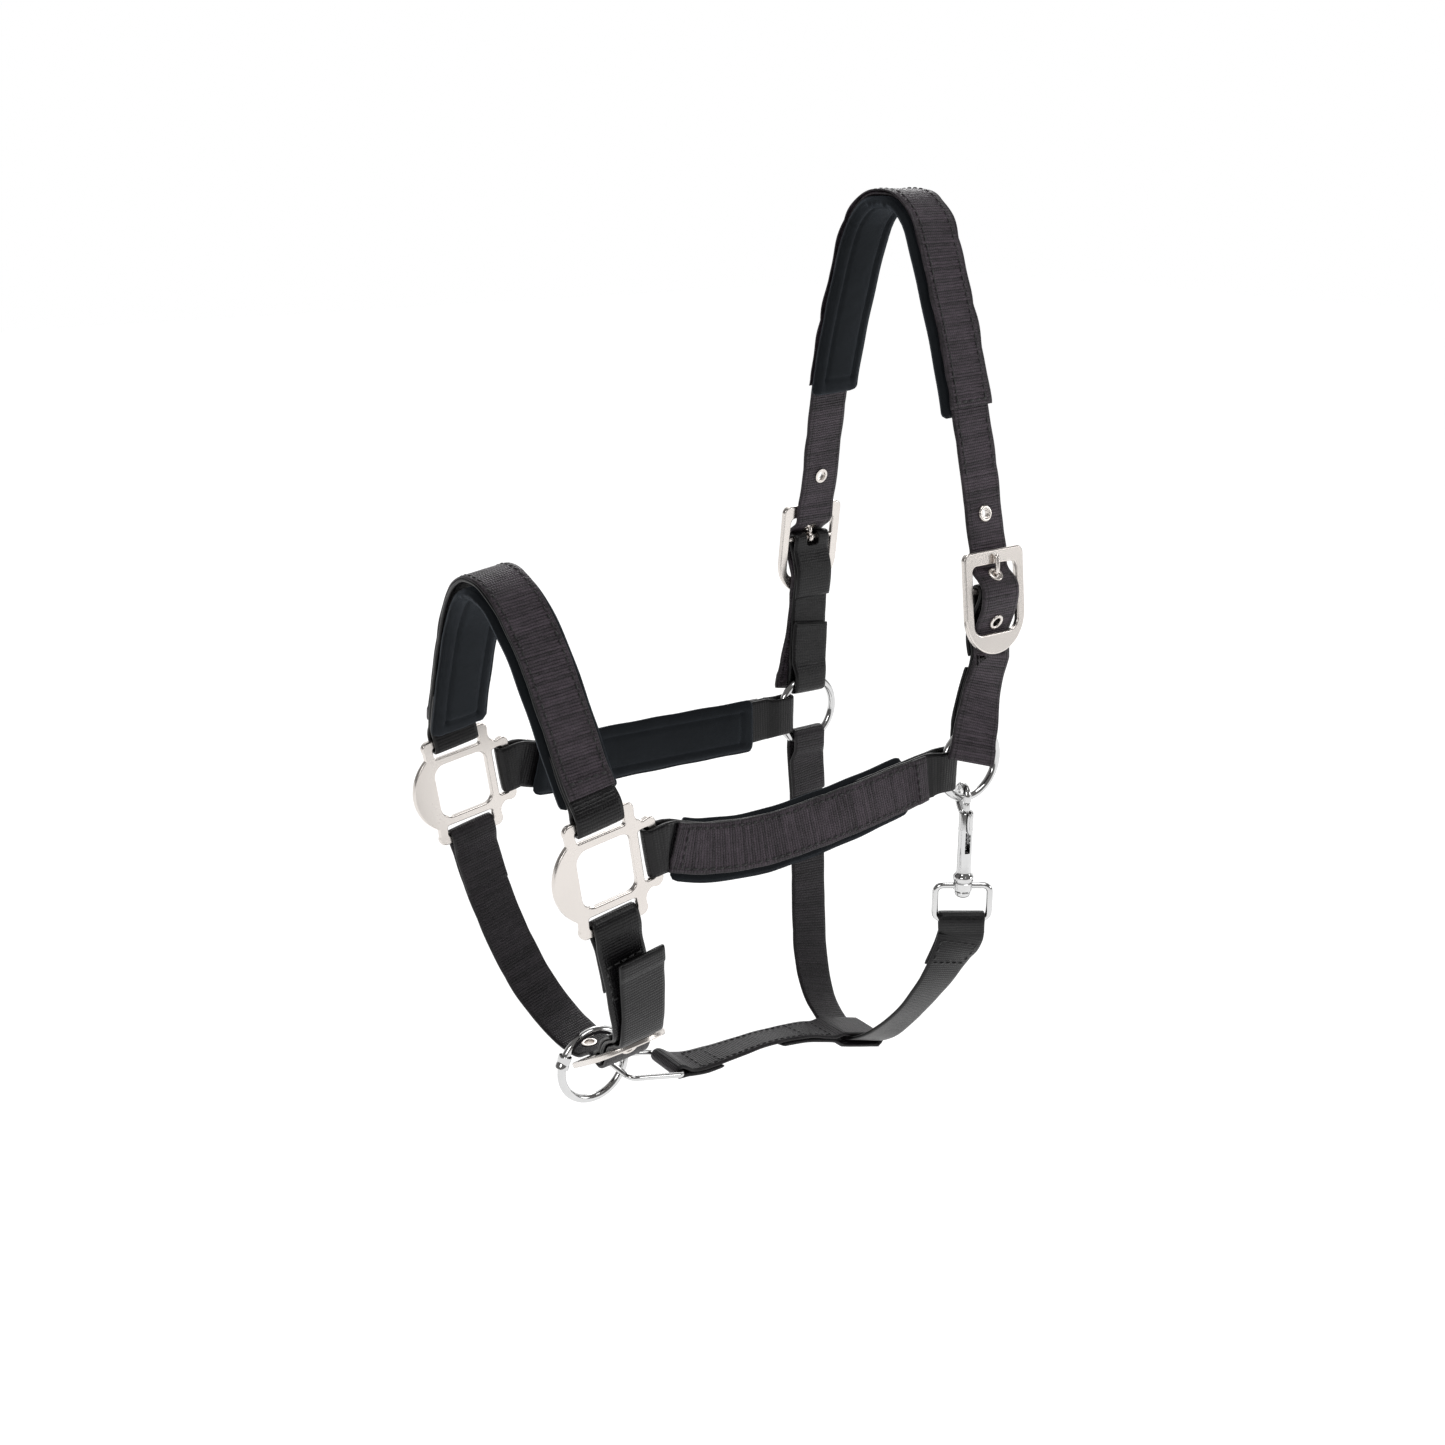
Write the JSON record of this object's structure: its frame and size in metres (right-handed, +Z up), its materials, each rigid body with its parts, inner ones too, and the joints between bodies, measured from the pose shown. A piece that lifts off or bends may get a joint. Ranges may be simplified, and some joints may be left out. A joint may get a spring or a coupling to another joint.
{
  "type": "webbing headcollar",
  "caption": "Padded webbing headcollar with square nose plates, centre-bar buckles, round cheek and chin rings and a bolt snap at the throat.",
  "frame": {"origin": "underside of the crown pad at the poll, at the middle of its flat facet", "axes": "+Z up, -X towards the nose, -Y the near side with the bolt snap, +Y the far side"},
  "size_m": [0.2877, 0.1735, 0.4901],
  "materials": {
    "webbing": "ribbed polyester webbing, satin",
    "padding": "soft faced foam padding, matt",
    "plate_nickel": "satin nickel",
    "steel": "polished",
    "spring_steel": "drawn wire"
  },
  "bodies": {
    "straps": {"chin_buckle": "plate_nickel", "chin_eyelet_1": "plate_nickel", "chin_eyelet_2": "plate_nickel", "chin_eyelet_3": "plate_nickel", "chin_link": "steel", "crown_pad": "padding", "crown_strap": "webbing", "far_buckle": "plate_nickel", "far_buckle_strap": "webbing", "far_cheek_pad": "padding", "far_cheek_strap": "webbing", "far_chin_strap": "webbing", "far_crown_eyelet_1": "plate_nickel", "far_crown_eyelet_2": "plate_nickel", "far_crown_eyelet_3": "plate_nickel", "far_nose_square": "plate_nickel", "jaw_strap": "webbing", "near_buckle": "plate_nickel", "near_buckle_strap": "webbing", "near_cheek_pad": "padding", "near_cheek_strap": "webbing", "near_chin_strap": "webbing", "near_crown_eyelet_1": "plate_nickel", "near_crown_eyelet_2": "plate_nickel", "near_crown_eyelet_3": "plate_nickel", "near_nose_square": "plate_nickel", "noseband_pad": "padding", "noseband_strap": "webbing", "snap_swivel_eye": "steel", "throat_strap": "webbing"},
    "near_cheek_ring": {"near_cheek_ring": "steel"},
    "far_cheek_ring": {"far_cheek_ring": "steel"},
    "chin_ring": {"chin_ring": "steel", "chin_ring_sleeve": "steel"},
    "near_tongue": {"near_tongue": "plate_nickel"},
    "far_tongue": {"far_tongue": "plate_nickel"},
    "chin_tongue": {"chin_tongue": "plate_nickel"},
    "snap_hook": {"snap_hook": "steel", "snap_spring": "spring_steel"},
    "snap_bolt": {"snap_bolt": "steel"}
  },
  "joints": [
    {"name": "near_ring_spin", "type": "hinge", "parent": "straps", "child": "near_cheek_ring", "pos_m": [0.001, -0.07, -0.285], "axis": [0, 1, 0], "continuous": true},
    {"name": "far_ring_spin", "type": "hinge", "parent": "straps", "child": "far_cheek_ring", "pos_m": [0.001, 0.07, -0.292], "axis": [0, 1, 0], "continuous": true},
    {"name": "chin_ring_spin", "type": "hinge", "parent": "straps", "child": "chin_ring", "pos_m": [-0.198, 0, -0.434], "axis": [0, 1, 0], "range_deg": [-120, 5]},
    {"name": "near_tongue_hinge", "type": "hinge", "parent": "straps", "child": "near_tongue", "pos_m": [0.006, -0.07615, -0.18805], "axis": [1, 0, 0], "range_deg": [0, 5]},
    {"name": "far_tongue_hinge", "type": "hinge", "parent": "straps", "child": "far_tongue", "pos_m": [0.006, 0.07615, -0.18805], "axis": [-1, 0, 0], "range_deg": [0, 5]},
    {"name": "chin_tongue_hinge", "type": "hinge", "parent": "straps", "child": "chin_tongue", "pos_m": [-0.20322, -0.03368, -0.40718], "axis": [-0.9809, 0.1175, -0.1549], "range_deg": [0, 5]},
    {"name": "snap_swivel", "type": "hinge", "parent": "straps", "child": "snap_hook", "pos_m": [-0.0043, -0.075, -0.354], "axis": [0, 0, 1], "range_deg": [-8, 8]},
    {"name": "snap_bolt_slide", "type": "slide", "parent": "snap_hook", "child": "snap_bolt", "axis": [0, 0, -1], "range_m": [0, 0.009], "stiffness_N_per_m": 150, "springref_m": -0.004, "deforming": ["snap_spring"]}
  ]
}
